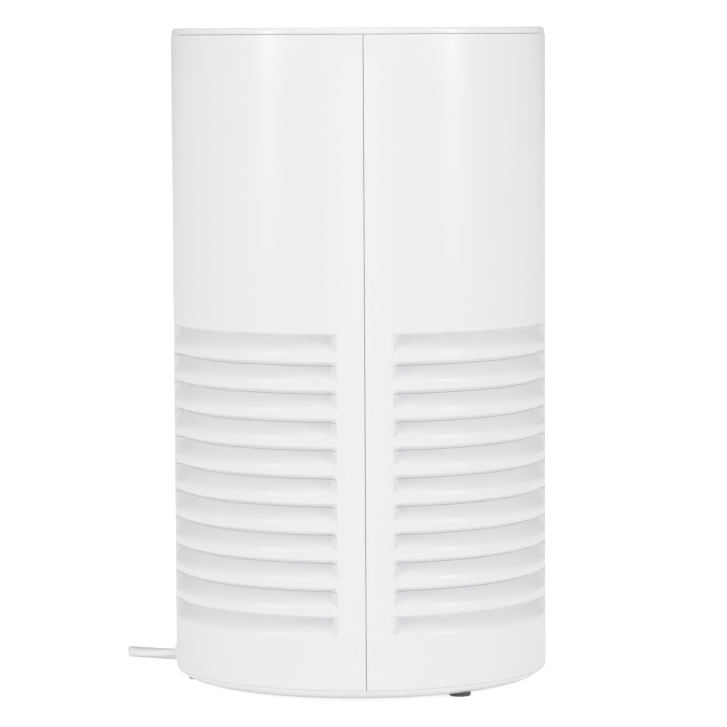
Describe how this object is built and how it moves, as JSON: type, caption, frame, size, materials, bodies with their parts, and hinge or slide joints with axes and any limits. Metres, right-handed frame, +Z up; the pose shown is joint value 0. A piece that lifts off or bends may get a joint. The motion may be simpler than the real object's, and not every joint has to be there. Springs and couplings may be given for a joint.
{
  "type": "air purifier",
  "caption": "Cylindrical tower air purifier with ring louvres round its lower half, a top outlet grille, press keys, a spinning fan, a twist-off base and a mains lead.",
  "frame": {"origin": "centre of the underside of the feet, on the floor", "axes": "+Z up, -Y the front, +Y the back where the mains lead leaves, the shell seams at +X and -X"},
  "size_m": [0.3235, 0.242, 0.3705],
  "materials": {
    "white_plastic": "satin",
    "grille_plastic": "satin",
    "panel_plastic": "satin",
    "key_plastic": "satin",
    "lens": "translucent",
    "circuit_board": "satin",
    "dark_plastic": "matte",
    "inner_plastic": "matte",
    "component_body": "satin",
    "motor_metal": "cast",
    "bearing_steel": "ground",
    "winding_copper": "enamelled wire",
    "magnet": "matte",
    "impeller_plastic": "satin",
    "screw_steel": "plated",
    "foam": "matte",
    "filter_frame": "matte",
    "filter_paper": "matte",
    "carbon_cloth": "matte",
    "mesh_cloth": "woven",
    "strap_cloth": "woven",
    "foot_rubber": "matte",
    "inner_lead": "satin",
    "cord_pvc": "satin",
    "tie_plastic": "matte",
    "blade_brass": "plated"
  },
  "bodies": {
    "housing": {"front_shell": "white_plastic", "rear_shell": "white_plastic", "top_ring": "white_plastic", "outlet_grille": "grille_plastic", "control_panel": "panel_plastic", "status_lenses": "lens", "control_board": "circuit_board", "tact_switches": "dark_plastic", "electronics_pod": "inner_plastic", "pod_lid": "inner_plastic", "power_board": "circuit_board", "power_parts": "component_body", "diffuser": "inner_plastic", "motor_case": "motor_metal", "motor_bearings": "bearing_steel", "motor_stator": "winding_copper", "fan_deck": "inner_plastic", "inlet_ring": "inner_plastic", "deck_screws": "screw_steel", "motor_screws": "screw_steel", "pod_screws": "screw_steel", "top_screws": "screw_steel", "filter_gasket": "foam", "filter_top_ring": "filter_frame", "filter_bottom_cap": "filter_frame", "filter_media": "filter_paper", "carbon_sleeve": "carbon_cloth", "prefilter_mesh": "mesh_cloth", "filter_strap": "strap_cloth", "base_chassis": "inner_plastic", "chassis_screws": "screw_steel", "cover_switch": "dark_plastic", "internal_lead": "inner_lead", "lead_clips": "inner_plastic", "cord_gland": "cord_pvc", "cord_lead": "cord_pvc", "cord_coil": "cord_pvc", "cord_tail": "cord_pvc", "cord_tie": "tie_plastic", "plug_body": "cord_pvc", "plug_blades": "blade_brass"},
    "impeller": {"motor_shaft": "bearing_steel", "motor_rotor": "magnet", "fan_impeller": "impeller_plastic", "shaft_nut": "screw_steel"},
    "base_cover": {"base_cover": "white_plastic", "rubber_feet": "foot_rubber"},
    "power_key": {"power_key": "key_plastic"},
    "speed_key": {"speed_key": "key_plastic"},
    "timer_key": {"timer_key": "key_plastic"},
    "sleep_key": {"sleep_key": "key_plastic"}
  },
  "joints": [
    {"name": "fan_spin", "type": "hinge", "parent": "housing", "child": "impeller", "pos_m": [0, 0, 0.27], "axis": [0, 0, 1], "continuous": true},
    {"name": "cover_twist", "type": "hinge", "parent": "housing", "child": "base_cover", "pos_m": [0, 0, 0], "axis": [0, 0, 1], "range_deg": [0, 26]},
    {"name": "power_press", "type": "slide", "parent": "housing", "child": "power_key", "axis": [0, 0, -1], "range_m": [0, 0.0008], "stiffness_N_per_m": 600, "springref_m": -0.0005},
    {"name": "speed_press", "type": "slide", "parent": "housing", "child": "speed_key", "axis": [0, 0, -1], "range_m": [0, 0.0008], "stiffness_N_per_m": 600, "springref_m": -0.0005},
    {"name": "timer_press", "type": "slide", "parent": "housing", "child": "timer_key", "axis": [0, 0, -1], "range_m": [0, 0.0008], "stiffness_N_per_m": 600, "springref_m": -0.0005},
    {"name": "sleep_press", "type": "slide", "parent": "housing", "child": "sleep_key", "axis": [0, 0, -1], "range_m": [0, 0.0008], "stiffness_N_per_m": 600, "springref_m": -0.0005}
  ]
}
